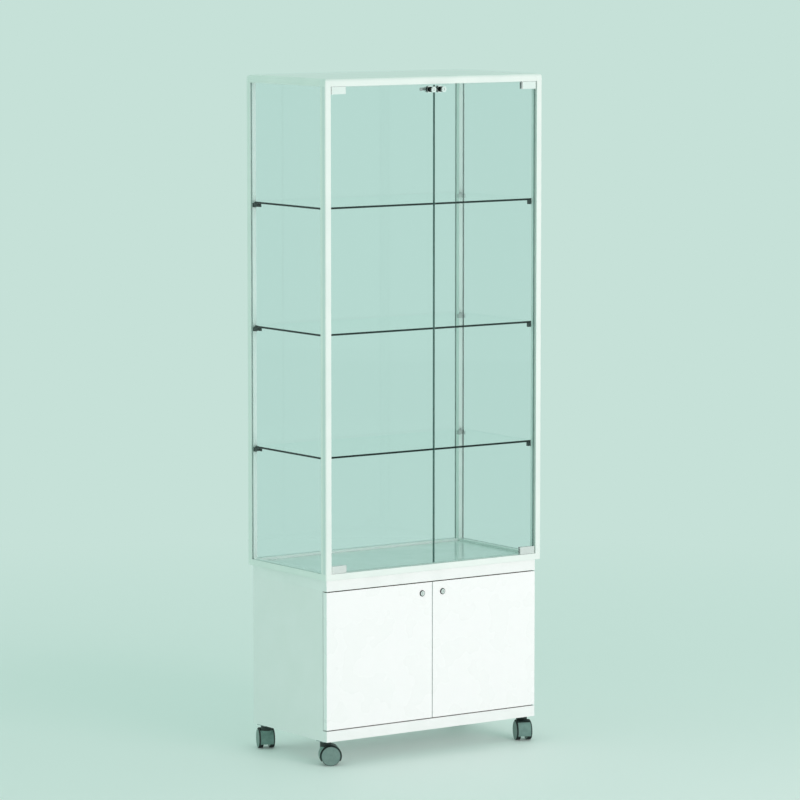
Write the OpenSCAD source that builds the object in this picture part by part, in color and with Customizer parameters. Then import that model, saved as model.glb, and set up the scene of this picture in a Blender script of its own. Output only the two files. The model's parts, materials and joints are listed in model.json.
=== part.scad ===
// Glazed display case on a castored base cabinet, in millimetres.
// Origin: on the floor, under the middle of the bounding box. Front is -Y, up is +Z.
// "side" is -1 for left and 1 for right, "end" is -1 for front and 1 for rear.

/* [Glass case] */
// Width over the frame
case_w = 800; // [600:10:1200]
// Depth over the frame
case_d = 425; // [360:5:600]
// Height of the frame from its bottom rails to its top
case_h = 1494; // [1350:2:1800]
// Depth of each rail, from its outer face to its inner face
rail_d = 22; // [20:0.5:26]
// Height of the bottom rails
bottom_rail_h = 18.5; // [17:0.5:30]
// Height of the top rails
top_rail_h = 23; // [21:0.5:34]
// Radius of the top rails' outer upper edge
edge_r = 11.5; // [2:0.5:12]
// Radius of the frame's upright outer corners
corner_r = 5; // [1:0.5:5]
// Width of each post across the front
post_w = 20; // [19:0.5:26]
// Depth of the front posts
front_post_d = 27; // [23:0.5:29]
// Depth of the rear posts
rear_post_d = 22; // [20:0.5:26]
// Width of the grey strip let into each front post
strip_w = 11; // [6:0.5:13]
// Distance from the case's front plane to that strip
strip_setback = 4; // [3:0.5:6]
// Depth of the strip's groove
strip_depth = 1.5; // [0.8:0.1:2]
// Length of the corner fittings' spigots inside the posts
post_spigot_l = 20; // [10:1:40]
// Length of the corner fittings' spigots inside the rails
rail_spigot_l = 10; // [6:0.5:10]
// Diameter of those spigots
spigot_dia = 8; // [5:0.5:8]

/* [Panels and glass] */
// Thickness of the fixed glass and the glass doors
glass_t = 5; // [4:0.5:6]
// Distance from the frame's outer faces to the fixed glass
glass_inset = 1.5; // [1.2:0.1:2]
// How far the fixed glass stands inside the frame's grooves
glass_edge = 6; // [3:0.5:6]
// Thickness of the top panel
top_panel_t = 10; // [6:0.5:12]
// Thickness of the floor panel
floor_panel_t = 12; // [8:0.5:13]
// How far both panels lie in the rails' rebates
panel_lap = 5; // [2:0.5:5]

/* [Shelves] */
// Thickness of the glass shelves
shelf_t = 6; // [5:0.5:8]
// Height of the lower shelf's middle above the case's underside
shelf_lower_h = 364.5; // [120:0.5:600]
// Height of the middle shelf's middle above the case's underside
shelf_middle_h = 732.5; // [640:0.5:900]
// Height of the upper shelf's middle above the case's underside
shelf_upper_h = 1109.5; // [940:0.5:1280]
// Distance from the case's front plane to the shelves
shelf_front_gap = 30; // [30:0.5:34]
// Distance from the case's rear plane to the shelves
shelf_rear_gap = 34; // [32:0.5:36]
// Width of the shelf brackets
bracket_w = 22; // [18:0.5:22]
// Hold of the front brackets under the shelf
front_bracket_hold = 7; // [4:0.5:20]
// Hold of the rear brackets under the shelf
rear_bracket_hold = 4; // [3:0.5:20]
// Height of the shelf brackets under the shelf
bracket_h = 12; // [10.5:0.5:20]
// Wall of the shelf brackets
bracket_wall = 3; // [2:0.5:3]

/* [Glass doors] */
// Distance from the case's front plane to the door glass
door_setback = 6; // [4.5:0.5:8]
// Gap between a glass door and its post
door_side_gap = 4; // [3:0.5:6]
// Gap between a glass door and the rails
door_end_gap = 3; // [2:0.5:6]
// Gap between the two glass doors
door_middle_gap = 3.5; // [2:0.5:8]
// Distance from a glass door's outer edge to its pivot
pivot_inset = 12; // [12:0.5:16]
// Diameter of all pivot pins
pivot_dia = 6; // [4:0.5:6]
// Length of the hinge clamps
clamp_l = 56; // [45:1:80]
// Thickness of the hinge clamps
clamp_t = 14; // [10:0.5:14]
// Height of the hinge clamps
clamp_h = 22.5; // [18:0.5:30]

/* [Locks] */
// Distance from the case's middle to the glass doors' locks
glass_lock_x = 18.7; // [16:0.1:30]
// Distance from the top rail's underside to the glass doors' locks
glass_lock_drop = 16; // [15:0.5:26]
// Reach of the glass doors' locks in front of the glass
glass_lock_reach = 24; // [10:0.5:30]
// Distance from the case's middle to the base doors' locks
base_lock_x = 38; // [30:0.5:60]
// Distance from the base doors' top to their locks
base_lock_drop = 32; // [28:0.5:34]
// Diameter of a lock's barrel
barrel_dia = 16; // [14:0.5:17]
// Diameter of a lock's turning plug
plug_dia = 12; // [10:0.5:12]
// Length of the glass doors' cams from the lock's middle
glass_cam_l = 24; // [20:0.5:30]
// Length of the base doors' cams from the lock's middle
base_cam_l = 30; // [25:0.5:32]

/* [Base cabinet] */
// Height of the base cabinet
base_h = 492; // [300:2:700]
// Overhang of the case over the base's sides
side_overhang = 11.5; // [0:0.5:20]
// Overhang of the case over the base's front
front_overhang = 14.5; // [0:0.5:14.5]
// Overhang of the case over the base's back
rear_overhang = 12; // [0:0.5:20]
// Thickness of the base's top board
base_top_t = 35.5; // [25:0.5:40]
// Thickness of the base's bottom board
base_bottom_t = 33; // [25:0.5:40]
// Thickness of the base's side boards
base_side_t = 18; // [16:0.5:22]
// Thickness of the base's back board
base_back_t = 12; // [6:0.5:18]
// Thickness of the base doors
base_door_t = 18; // [16:0.5:18]
// Gap round the base doors
base_door_gap = 3; // [2:0.1:4]
// Distance from a base door's outer edge and front to its pivot
base_pivot_inset = 6.5; // [6:0.1:6.5]

/* [Castors] */
// Height of the castors from the floor to the base's underside
castor_h = 75.5; // [74:0.5:90]
// Distance from the base's sides to the castors' swivel axes
castor_side_inset = 21; // [21:0.5:60]
// Distance from the base's front and back to the castors' swivel axes
castor_end_inset = 38; // [30:0.5:60]
// Diameter of the castor wheels
wheel_dia = 60; // [50:0.5:60]
// Width of one castor wheel
wheel_w = 14.5; // [10:0.5:16]
// Gap between the two wheels of one castor
wheel_gap = 21; // [20:0.5:26]
// Distance from the swivel axis to the axle
castor_trail = 14; // [6:0.5:18]
// Diameter of the castors' axles
axle_dia = 8; // [6:0.5:8]
// Diameter of the castors' swivel stems
stem_dia = 9; // [6:0.5:9]
// Heading of the front left castor, from +X
heading_front_left = -28.2; // [-30:0.1:-20]
// Heading of the front right castor, from +X
heading_front_right = -113.2; // [-160:0.1:-110]
// Heading of the rear left castor, from +X
heading_rear_left = 66.8; // [50:0.1:70]
// Heading of the rear right castor, from +X
heading_rear_right = 160; // [120:1:165]

/* [Clearances] */
// Radial clearance of everything that turns
running_fit = 0.05; // [0.02:0.01:0.1]
// Clearance of pins, dowels and screws that stay put
fixed_fit = 0.02; // [0.01:0.01:0.1]
// Clearance of the fixed glass in its grooves
glass_fit = 0.3; // [0.1:0.05:0.4]
// Clearance of the top and floor panels in the rebates
panel_fit = 0.2; // [0.1:0.05:0.4]
// Clearance of the clamps on the door glass
clamp_fit = 0.2; // [0.1:0.05:0.4]
// Clearance between the shelves and the side glass
shelf_fit = 0.6; // [0.3:0.1:1.5]

/* [Hidden] */
$fn = 64;

SIDES = [-1, 1];
ENDS = [-1, 1];
cut = 1;                        // how far a cutting shape runs past the face it opens

// Castors
wheel_r = wheel_dia / 2;
hood_gap = 1.3;                 // between wheel and hood
hood_wall = 2.2;
hood_r = wheel_r + hood_gap + hood_wall;
hood_edge_r = 3;
wheel_proud = 2;                // how far the wheels stand out of the hood
wheel_half = wheel_gap / 2 + wheel_w;
hood_half = wheel_half - wheel_proud;
web_half = wheel_gap / 2 - 1.5; // half the thickness of the web that holds the axle
hood_low_z = wheel_r / 2 - 0.2; // the hood's lower edge
neck_r = 17;
neck_base_z = wheel_r + 6;
plate_t = 2.5;
plate_w = 40;
plate_z = castor_h - plate_t;
neck_top_z = plate_z - 0.5;
stem_base_z = wheel_r + axle_dia / 2 + 12;
stem_end_gap = 1;
axle_end_gap = 0.5;             // between an axle's end and its blind bore
cap_t = 1;                      // wheel cap that closes the bore
cap_r = wheel_r - 3.5;
cap_groove_w = 0.8;
tyre_edge_r = 2;
plate_screw_offset = 15;        // plate screws from the swivel axis, both ways

// How far a drum on the axle reaches towards +Y, with its edges rounded
function drum_reach(heading, radius, half, edge) =
  (radius - edge) * abs(sin(heading)) + (half - edge) * abs(cos(heading)) + edge;

// How far a castor reaches past its swivel axis towards +Y
function castor_reach(heading) =
  castor_trail * sin(heading)
  + max(drum_reach(heading, hood_r, hood_half, hood_edge_r),
        drum_reach(heading, wheel_r, wheel_half - cap_t, tyre_edge_r),
        drum_reach(heading, cap_r, wheel_half, 0));

// Places along Y, measured from the middle of the bounding box
plug_proud = 0.5;
front_reach = glass_lock_reach + plug_proud - door_setback;
castor_rear_reach = max(castor_reach(heading_rear_left), castor_reach(heading_rear_right));
rear_reach = max(case_d, case_d - rear_overhang - castor_end_inset + castor_rear_reach);
front_y = -(rear_reach - front_reach) / 2;
rear_y = front_y + case_d;
middle_y = (front_y + rear_y) / 2;

// Levels
base_z = castor_h;
case_z = base_z + base_h;
sill_z = case_z + bottom_rail_h;      // top of the bottom rails
top_z = case_z + case_h;
head_z = top_z - top_rail_h;          // underside of the top rails

// Frame
half_w = case_w / 2;
half_d = case_d / 2;
rail_half_l = half_w - rail_d;
spigot_r = spigot_dia / 2;
spigot_side_inset = 10;               // post spigots from the case's sides
spigot_end_inset = rail_d / 2;        // post spigots from its front and back
rail_spigot_low = 6;                  // rail spigots above the bottom rails' underside
rail_spigot_high = 8.5;               // rail spigots below the top rails' top
strip_recess = 0.2;                   // the strip lies this far below the post's face
strip_fit = 0.05;

// Fixed glass and shelves
side_glass_x = half_w - glass_inset - glass_t;   // inner face of the side glass
shelf_half_w = side_glass_x - shelf_fit;
shelf_levels = [for (h = [shelf_lower_h, shelf_middle_h, shelf_upper_h]) case_z + h - shelf_t / 2];
bracket_x = shelf_half_w - bracket_w / 2 + 0.3;
front_bracket_d = shelf_front_gap - front_post_d + front_bracket_hold;   // from the post
rear_bracket_d = shelf_rear_gap - rear_post_d + rear_bracket_hold;
front_seat_gap = bracket_wall;        // from the front post to the bracket's seat
rear_seat_gap = 7;
seat_t = 3;
front_head_r = 3;
rear_head_r = 7.5;
head_t = 3;
front_screw_drop = bracket_h * 0.6;   // below the shelf
rear_screw_drop = 2;
bracket_screw_r = 1.75;
bracket_screw_l = 12;

// Glass doors
door_outer_x = half_w - post_w - door_side_gap;
door_inner_x = door_middle_gap / 2;
door_low_z = sill_z + door_end_gap;
door_high_z = head_z - door_end_gap;
door_front_y = front_y + door_setback;
door_back_y = door_front_y + glass_t;
pivot_r = pivot_dia / 2;
pivot_x = door_outer_x - pivot_inset;
pivot_y = door_front_y + glass_t / 2;
clamp_rail_gap = 0.6;
clamp_post_gap = 1;
clamp_edge_r = 4;
clamp_outer_x = half_w - post_w - clamp_post_gap;
pin_in_rail = 10;
pin_in_clamp = 12;
pin_end_gap = 0.4;
notch_w = pivot_inset * 2;
notch_h = pin_in_clamp + 1;

// Locks
barrel_r = barrel_dia / 2;
plug_r = plug_dia / 2 - running_fit;
barrel_fit = 0.2;                     // in the hole through glass or board
flange_t = 2.5;
glass_flange_r = barrel_r + 2.75;
glass_ring_r = barrel_r + 0.5;
glass_ring_t = 3;
base_flange_r = barrel_r + 1.5;
nut_t = 4;
nut_r = barrel_r + 3;
stub_r = 4;
cam_t = 2;
cam_w = 10;
cam_hub_r = 7;
cam_gap = 1;                          // between the rail or lip and the cam
cam_screw_r = 5.5;
cam_screw_t = 1.5;
key_slot_w = 1.2;
key_slot_h = 7;
key_slot_depth = 3;
glass_lock_z = head_z - glass_lock_drop;
glass_cam_y = front_y + rail_d + cam_gap;

// Base cabinet
base_half_w = half_w - side_overhang;
base_front_y = front_y + front_overhang;
base_rear_y = rear_y - rear_overhang;
base_floor_z = base_z + base_bottom_t;
base_head_z = case_z - base_top_t;
base_inner_x = base_half_w - base_side_t;
base_door_low_z = base_floor_z + base_door_gap;
base_door_high_z = base_head_z - base_door_gap;
base_door_back_y = base_front_y + base_door_t;
base_pivot_x = base_half_w - base_pivot_inset;
base_pivot_y = base_front_y + base_pivot_inset - 0.5;
base_pin_l = 12;
base_lock_z = base_door_high_z - base_lock_drop;
lip_gap = 4.5;                        // between a base door and its strike lip
lip_t = 2;
lip_h = 17;
strike_w = 30;
strike_foot = 16;
base_cam_y = base_door_back_y + lip_gap + lip_t + 2;
dowel_r = 4;
dowel_l = 30;
dowel_inset = 75;
castor_x = base_half_w - castor_side_inset;
frame_screw_x = case_w * 0.3;
frame_screw_inset = 80;
frame_head_r = 4.5;
frame_head_t = 3;
frame_counterbore = 12;
frame_shank_r = 2.5;
frame_thread = 9;                     // in the floor panel
plate_head_r = 3.5;
plate_head_t = 1.5;
plate_shank_r = 2;
plate_thread = 14;                    // in the boards
counterbore_fit = 0.1;

// ---- General shapes ----

// A box from its lowest corner to its highest corner
module box(low, high) {
  translate(low) cube(high - low);
}

// The same box on either side of the middle plane
module side_box(side, low, high) {
  flip(side, 1) box(low, high);
}

// Turns a right rear shape into its mirror image
module flip(side, end) {
  mirror([side < 0 ? 1 : 0, 0, 0]) mirror([0, end < 0 ? 1 : 0, 0]) children();
}

// A rectangle whose far corner is rounded
module one_round(width, height, radius) {
  square([width, height - radius]);
  square([width - radius, height]);
  intersection() {
    square([width, height]);
    translate([width - radius, height - radius]) circle(r = radius);
  }
}

// A rectangle whose four corners are rounded
module round_plate(width, height, radius) {
  translate([radius, 0]) square([width - 2 * radius, height]);
  translate([0, radius]) square([width, height - 2 * radius]);
  for (x = [radius, width - radius], y = [radius, height - radius])
    translate([x, y]) circle(r = radius);
}

// A cylinder along Y, from one depth to another
module rod_y(x, z, radius, from_y, to_y) {
  translate([x, to_y, z]) rotate([90, 0, 0]) cylinder(r = radius, h = to_y - from_y);
}

// A cylinder along Z
module rod_z(x, y, radius, from_z, to_z) {
  translate([x, y, from_z]) cylinder(r = radius, h = to_z - from_z);
}

// ---- Frame of the glass case ----

// A rail along X that looks out to +Y
module rail_bar(length, height, radius) {
  translate([-length / 2, 0, 0]) rotate([90, 0, 90]) linear_extrude(length)
    if (radius > 0) one_round(rail_d, height, radius);
    else square([rail_d, height]);
}

// One rail of the frame: turn 0 is the rear one
module rail(turn, half, length, level, height, radius) {
  difference() {
    translate([0, middle_y, level]) rotate([0, 0, turn]) translate([0, half - rail_d, 0])
      rail_bar(length, height, radius);
    fixed_glass(glass_fit);
    panel_recesses();
    for (side = SIDES, end = ENDS) spigots(side, end, fixed_fit);
    glass_pivots(fixed_fit);
  }
}

module top_rail(turn, half, length) {
  color("white") rail(turn, half, length, head_z, top_rail_h, edge_r);
}

module bottom_rail(turn, half, length) {
  color("white") rail(turn, half, length, case_z, bottom_rail_h, 0);
}

// The six round spigots of the two fittings at one corner
module spigots(side, end, fit) {
  along_x = half_w - spigot_side_inset;
  along_y = half_d - spigot_end_inset;
  translate([0, middle_y, 0]) flip(side, end) {
    rod_z(along_x, along_y, spigot_r + fit, sill_z - cut, sill_z + post_spigot_l + fit);
    rod_z(along_x, along_y, spigot_r + fit, head_z - post_spigot_l - fit, head_z + cut);
    for (z = [case_z + rail_spigot_low, top_z - rail_spigot_high]) {
      translate([half_w - rail_d - rail_spigot_l - fit, along_y, z]) rotate([0, 90, 0])
        cylinder(r = spigot_r + fit, h = rail_spigot_l + fit + cut);
      rod_y(half_w - rail_d / 2, z, spigot_r + fit,
            half_d - rail_d - rail_spigot_l - fit, half_d - rail_d + cut);
    }
  }
}

// The blocks of the two fittings at one corner
module corner_blocks(side, end) {
  translate([0, middle_y, 0]) flip(side, end) {
    translate([half_w - rail_d, half_d - rail_d, case_z])
      linear_extrude(bottom_rail_h) one_round(rail_d, rail_d, corner_r);
    translate([half_w - rail_d, half_d - rail_d, head_z]) intersection() {
      linear_extrude(top_rail_h) one_round(rail_d, rail_d, corner_r);
      translate([0, rail_d, 0]) rotate([90, 0, 0])
        linear_extrude(rail_d) one_round(rail_d, top_rail_h, edge_r);
      rotate([90, 0, 90]) linear_extrude(rail_d) one_round(rail_d, top_rail_h, edge_r);
    }
  }
}

module corner_fittings() {
  color("white") difference() {
    for (side = SIDES, end = ENDS) {
      corner_blocks(side, end);
      spigots(side, end, 0);
    }
    fixed_glass(glass_fit);
    panel_recesses();
  }
}

module post(side, end) {
  depth = end < 0 ? front_post_d : rear_post_d;
  color("white") difference() {
    translate([0, middle_y, 0]) flip(side, end)
      translate([half_w - post_w, half_d - depth, sill_z])
        linear_extrude(head_z - sill_z) one_round(post_w, depth, corner_r);
    fixed_glass(glass_fit);
    spigots(side, end, fixed_fit);
    cover_strip(side, 0, strip_recess + cut);
    for (level = shelf_levels) bracket_screw(side, end, level, fixed_fit);
  }
}

// The strip in a front post's outer face
module cover_strip(side, fit, rise) {
  side_box(side,
    [half_w - strip_depth, front_y + strip_setback + fit, sill_z],
    [half_w - strip_recess + rise, front_y + strip_setback + strip_w - fit, head_z]);
}

module post_cover_strips() {
  color("silver") for (side = SIDES) cover_strip(side, strip_fit, 0);
}

// ---- Panels, glass and shelves ----

// The outline that the top and floor panels share
module panel(from_z, to_z, fit) {
  reach_x = half_w - rail_d + panel_lap - panel_fit + fit;
  reach_y = half_d - rail_d + panel_lap - panel_fit + fit;
  box([-reach_x, middle_y - reach_y, from_z], [reach_x, middle_y + reach_y, to_z]);
}

module panel_recesses() {
  panel(top_z - top_panel_t, top_z + cut, panel_fit);
  panel(case_z - cut, case_z + floor_panel_t, panel_fit);
}

module top_panel() {
  color("white") panel(top_z - top_panel_t, top_z, 0);
}

module floor_panel() {
  color("gainsboro") difference() {
    panel(case_z, case_z + floor_panel_t, 0);
    frame_screws(fixed_fit);
  }
}

module side_glass(side, fit) {
  side_box(side,
    [side_glass_x - fit, front_y + front_post_d - glass_edge - fit, sill_z - glass_edge - fit],
    [side_glass_x + glass_t + fit, rear_y - rear_post_d + glass_edge + fit, head_z + glass_edge + fit]);
}

module back_pane(fit) {
  reach_x = half_w - post_w + glass_edge + fit;
  outer_y = rear_y - glass_inset;
  box([-reach_x, outer_y - glass_t - fit, sill_z - glass_edge - fit],
      [reach_x, outer_y + fit, head_z + glass_edge + fit]);
}

module fixed_glass(fit) {
  for (side = SIDES) side_glass(side, fit);
  back_pane(fit);
}

module side_glass_left() {
  color("lightcyan", 0.35) side_glass(-1, 0);
}

module side_glass_right() {
  color("lightcyan", 0.35) side_glass(1, 0);
}

module back_glass() {
  color("lightcyan", 0.35) back_pane(0);
}

module shelf(level) {
  color("lightcyan", 0.35)
    box([-shelf_half_w, front_y + shelf_front_gap, level],
        [shelf_half_w, rear_y - shelf_rear_gap, level + shelf_t]);
}

module shelf_lower() {
  shelf(shelf_levels[0]);
}

module shelf_middle() {
  shelf(shelf_levels[1]);
}

module shelf_upper() {
  shelf(shelf_levels[2]);
}

// Puts a bracket's own frame, +Y into the case, on a post's inner face
module at_bracket(side, end, level) {
  post_face = end < 0 ? front_y + front_post_d : rear_y - rear_post_d;
  translate([0, post_face, level]) flip(side, -end) translate([bracket_x, 0, 0]) children();
}

// One bracket: back plate, seat and two cheeks
module bracket(side, end, level) {
  half = bracket_w / 2;
  seat_gap = end < 0 ? front_seat_gap : rear_seat_gap;
  reach = end < 0 ? front_bracket_d : rear_bracket_d;
  at_bracket(side, end, level) {
    box([-half, 0, -bracket_h], [half, bracket_wall, 0]);
    box([-half, seat_gap, -seat_t], [half, reach, 0]);
    for (cheek = SIDES) flip(cheek, 1) box([half - bracket_wall, 0, -bracket_h], [half, reach, 0]);
  }
}

// The screw that holds a bracket on its post
module bracket_screw(side, end, level, fit) {
  drop = end < 0 ? front_screw_drop : rear_screw_drop;
  head_r = end < 0 ? front_head_r : rear_head_r;
  at_bracket(side, end, level) {
    rod_y(0, -drop, bracket_screw_r + fit, -bracket_screw_l - fit, bracket_wall);
    if (fit == 0) rod_y(0, -drop, head_r, bracket_wall, bracket_wall + head_t);
  }
}

module shelf_brackets() {
  color("darkslategray") difference() {
    for (side = SIDES, end = ENDS, level = shelf_levels) bracket(side, end, level);
    for (side = SIDES, end = ENDS, level = shelf_levels) bracket_screw(side, end, level, fixed_fit);
  }
}

module bracket_screws() {
  color("dimgray")
    for (side = SIDES, end = ENDS, level = shelf_levels) bracket_screw(side, end, level, 0);
}

// ---- Glass doors ----

// The glass doors' four pins, or their bores in rails and clamps
module glass_pivots(fit) {
  rail_end = pin_in_rail + (fit > 0 ? fit : 0);
  clamp_end = clamp_rail_gap + pin_in_clamp + (fit > 0 ? pin_end_gap : 0);
  for (side = SIDES) {
    rod_z(side * pivot_x, pivot_y, pivot_r + fit, sill_z - rail_end, sill_z + clamp_end);
    rod_z(side * pivot_x, pivot_y, pivot_r + fit, head_z - clamp_end, head_z + rail_end);
  }
}

// The base doors' four pins, or their bores in boards and doors
module base_pivots(fit) {
  board_end = base_pin_l + (fit > 0 ? fit : 0);
  door_end = base_door_gap + base_pin_l + (fit > 0 ? pin_end_gap : 0);
  for (side = SIDES) {
    rod_z(side * base_pivot_x, base_pivot_y, pivot_r + fit,
          base_floor_z - board_end, base_floor_z + door_end);
    rod_z(side * base_pivot_x, base_pivot_y, pivot_r + fit,
          base_head_z - door_end, base_head_z + board_end);
  }
}

module pivot_pins() {
  color("silver") {
    glass_pivots(0);
    base_pivots(0);
  }
}

// A door's glass with its notches at the hinges, grown by fit
module door_glass(side, fit) {
  difference() {
    side_box(side,
      [door_inner_x - fit, door_front_y - fit, door_low_z - fit],
      [door_outer_x + fit, door_back_y + fit, door_high_z + fit]);
    side_box(side,
      [door_outer_x - notch_w + fit, door_front_y - cut, door_low_z - cut],
      [door_outer_x + cut, door_back_y + cut, door_low_z + notch_h - fit]);
    side_box(side,
      [door_outer_x - notch_w + fit, door_front_y - cut, door_high_z - notch_h + fit],
      [door_outer_x + cut, door_back_y + cut, door_high_z + cut]);
  }
}

module glass_door(side) {
  color("lightcyan", 0.35) difference() {
    door_glass(side, 0);
    rod_y(side * glass_lock_x, glass_lock_z, barrel_r + barrel_fit, door_front_y - cut, door_back_y + cut);
  }
}

module glass_door_left() {
  glass_door(-1);
}

module glass_door_right() {
  glass_door(1);
}

// The two clamps that carry a glass door on its pins
module hinge_clamps(side) {
  color("lightgray") difference() {
    for (level = [sill_z + clamp_rail_gap, head_z - clamp_rail_gap - clamp_h])
      flip(side, 1) translate([clamp_outer_x - clamp_l, pivot_y - clamp_t / 2, level])
        linear_extrude(clamp_h) round_plate(clamp_l, clamp_t, clamp_edge_r);
    door_glass(side, clamp_fit);
    glass_pivots(running_fit);
  }
}

module hinge_clamps_left() {
  hinge_clamps(-1);
}

module hinge_clamps_right() {
  hinge_clamps(1);
}

// ---- Locks ----

// A barrel with its nut behind the door
module lock_barrel(x, z, from_y, face_y, back_y, to_y, flange_r, ring_r) {
  color("silver") {
    difference() {
      union() {
        rod_y(x, z, barrel_r, from_y, to_y);
        rod_y(x, z, flange_r, face_y - flange_t, face_y);
        rod_y(x, z, ring_r, from_y, from_y + min(glass_ring_t, face_y - from_y));
      }
      rod_y(x, z, plug_r + running_fit, from_y - cut, to_y + cut);
    }
    difference() {
      rod_y(x, z, nut_r, back_y, back_y + nut_t);
      rod_y(x, z, barrel_r + fixed_fit, back_y - cut, back_y + nut_t + cut);
    }
  }
}

// A plug with its key slot, and the cam on its end, pointing away from the middle
module lock_plug(side, x, z, from_y, barrel_end, cam_y, cam_l) {
  color("gray") {
    difference() {
      union() {
        rod_y(side * x, z, plug_r, from_y, barrel_end);
        rod_y(side * x, z, stub_r, barrel_end, cam_y + cam_t + cam_screw_t);
        rod_y(side * x, z, cam_screw_r, cam_y + cam_t + fixed_fit, cam_y + cam_t + cam_screw_t);
      }
      translate([side * x - key_slot_w / 2, from_y - cut, z - key_slot_h / 2])
        cube([key_slot_w, key_slot_depth + cut, key_slot_h]);
    }
    flip(side, 1) translate([x, cam_y + cam_t, z]) rotate([90, 0, 0])
      linear_extrude(cam_t) difference() {
        union() {
          circle(r = cam_hub_r);
          translate([0, -cam_w / 2]) square([cam_l - cam_w / 2, cam_w]);
          translate([cam_l - cam_w / 2, 0]) circle(r = cam_w / 2);
        }
        circle(r = stub_r + fixed_fit);
      }
  }
}

module glass_lock_barrel(side) {
  lock_barrel(side * glass_lock_x, glass_lock_z, door_front_y - glass_lock_reach,
              door_front_y, door_back_y, glass_cam_y - 2 * cam_gap, glass_flange_r, glass_ring_r);
}

module glass_lock_plug(side) {
  lock_plug(side, glass_lock_x, glass_lock_z, door_front_y - glass_lock_reach - plug_proud,
            glass_cam_y - cam_gap, glass_cam_y, glass_cam_l);
}

module base_lock_barrel(side) {
  lock_barrel(side * base_lock_x, base_lock_z, base_front_y - flange_t,
              base_front_y, base_door_back_y, base_cam_y - 2 * cam_gap, base_flange_r, base_flange_r);
}

module base_lock_plug(side) {
  lock_plug(side, base_lock_x, base_lock_z, base_front_y - flange_t - plug_proud,
            base_cam_y - cam_gap, base_cam_y, base_cam_l);
}

module glass_lock_barrel_left() {
  glass_lock_barrel(-1);
}

module glass_lock_barrel_right() {
  glass_lock_barrel(1);
}

module glass_lock_plug_left() {
  glass_lock_plug(-1);
}

module glass_lock_plug_right() {
  glass_lock_plug(1);
}

module base_lock_barrel_left() {
  base_lock_barrel(-1);
}

module base_lock_barrel_right() {
  base_lock_barrel(1);
}

module base_lock_plug_left() {
  base_lock_plug(-1);
}

module base_lock_plug_right() {
  base_lock_plug(1);
}

// ---- Base cabinet ----

module base_top() {
  color("white") difference() {
    box([-base_half_w, base_front_y, base_head_z], [base_half_w, base_rear_y, case_z]);
    base_pivots(fixed_fit);
    top_dowels(fixed_fit);
    frame_screws(fixed_fit);
  }
}

module base_bottom() {
  color("white") difference() {
    box([-base_inner_x, base_front_y, base_z], [base_inner_x, base_rear_y, base_floor_z]);
    bottom_dowels(fixed_fit);
    plate_screws(fixed_fit);
  }
}

// A side board, with the toe that carries the base door's lower pin
module base_side(side) {
  color("white") difference() {
    union() {
      side_box(side,
        [base_inner_x, base_door_back_y + base_door_gap, base_z],
        [base_half_w, base_rear_y, base_head_z]);
      side_box(side,
        [base_inner_x, base_front_y, base_z],
        [base_half_w, base_rear_y, base_floor_z]);
    }
    base_pivots(fixed_fit);
    top_dowels(fixed_fit);
    bottom_dowels(fixed_fit);
    plate_screws(fixed_fit);
  }
}

module base_side_left() {
  base_side(-1);
}

module base_side_right() {
  base_side(1);
}

module base_back() {
  color("white")
    box([-base_inner_x, base_rear_y - base_back_t, base_floor_z],
        [base_inner_x, base_rear_y, base_head_z]);
}

module base_door(side) {
  color("white") difference() {
    side_box(side,
      [base_door_gap / 2, base_front_y, base_door_low_z],
      [base_half_w, base_door_back_y, base_door_high_z]);
    base_pivots(running_fit);
    rod_y(side * base_lock_x, base_lock_z, barrel_r + barrel_fit,
          base_front_y - cut, base_door_back_y + cut);
  }
}

module base_door_left() {
  base_door(-1);
}

module base_door_right() {
  base_door(1);
}

// The lips under the top board that the base doors' cams catch
module strike_plates() {
  lip_y = base_door_back_y + lip_gap;
  color("silver") for (side = SIDES) {
    box([side * base_lock_x - strike_w / 2, lip_y, base_head_z - lip_h],
        [side * base_lock_x + strike_w / 2, lip_y + lip_t, base_head_z]);
    box([side * base_lock_x - strike_w / 2, lip_y, base_head_z - lip_t],
        [side * base_lock_x + strike_w / 2, lip_y + strike_foot, base_head_z]);
  }
}

// ---- Dowels and screws ----

dowel_places = [base_front_y + dowel_inset, base_rear_y - dowel_inset];

module top_dowels(fit) {
  for (side = SIDES, y = dowel_places)
    rod_z(side * (base_half_w - base_side_t / 2), y, dowel_r + fit,
          base_head_z - dowel_l / 2 - fit, base_head_z + dowel_l / 2 + fit);
}

module bottom_dowels(fit) {
  // The bore leaves a skin of board outside the dowel's end
  for (side = SIDES, y = dowel_places)
    flip(side, 1) translate([base_inner_x - dowel_l / 2 - fit, y, base_z + base_bottom_t / 2])
      rotate([0, 90, 0])
        cylinder(r = dowel_r + fit, h = dowel_l / 2 + base_side_t * 0.75 + 2 * fit);
}

module dowels() {
  color("burlywood") {
    top_dowels(0);
    bottom_dowels(0);
  }
}

// The screws that hold the glass case on the base
module frame_screws(fit) {
  head_z0 = base_head_z + frame_counterbore - frame_head_t;
  open_z = fit > 0 ? base_head_z - cut : head_z0;
  head_fit = fit > 0 ? counterbore_fit : 0;
  for (side = SIDES, y = [base_front_y + frame_screw_inset, base_rear_y - frame_screw_inset]) {
    rod_z(side * frame_screw_x, y, frame_head_r + head_fit, open_z, base_head_z + frame_counterbore);
    rod_z(side * frame_screw_x, y, frame_shank_r + fit,
          base_head_z + frame_counterbore, case_z + frame_thread + fit);
  }
}

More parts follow.
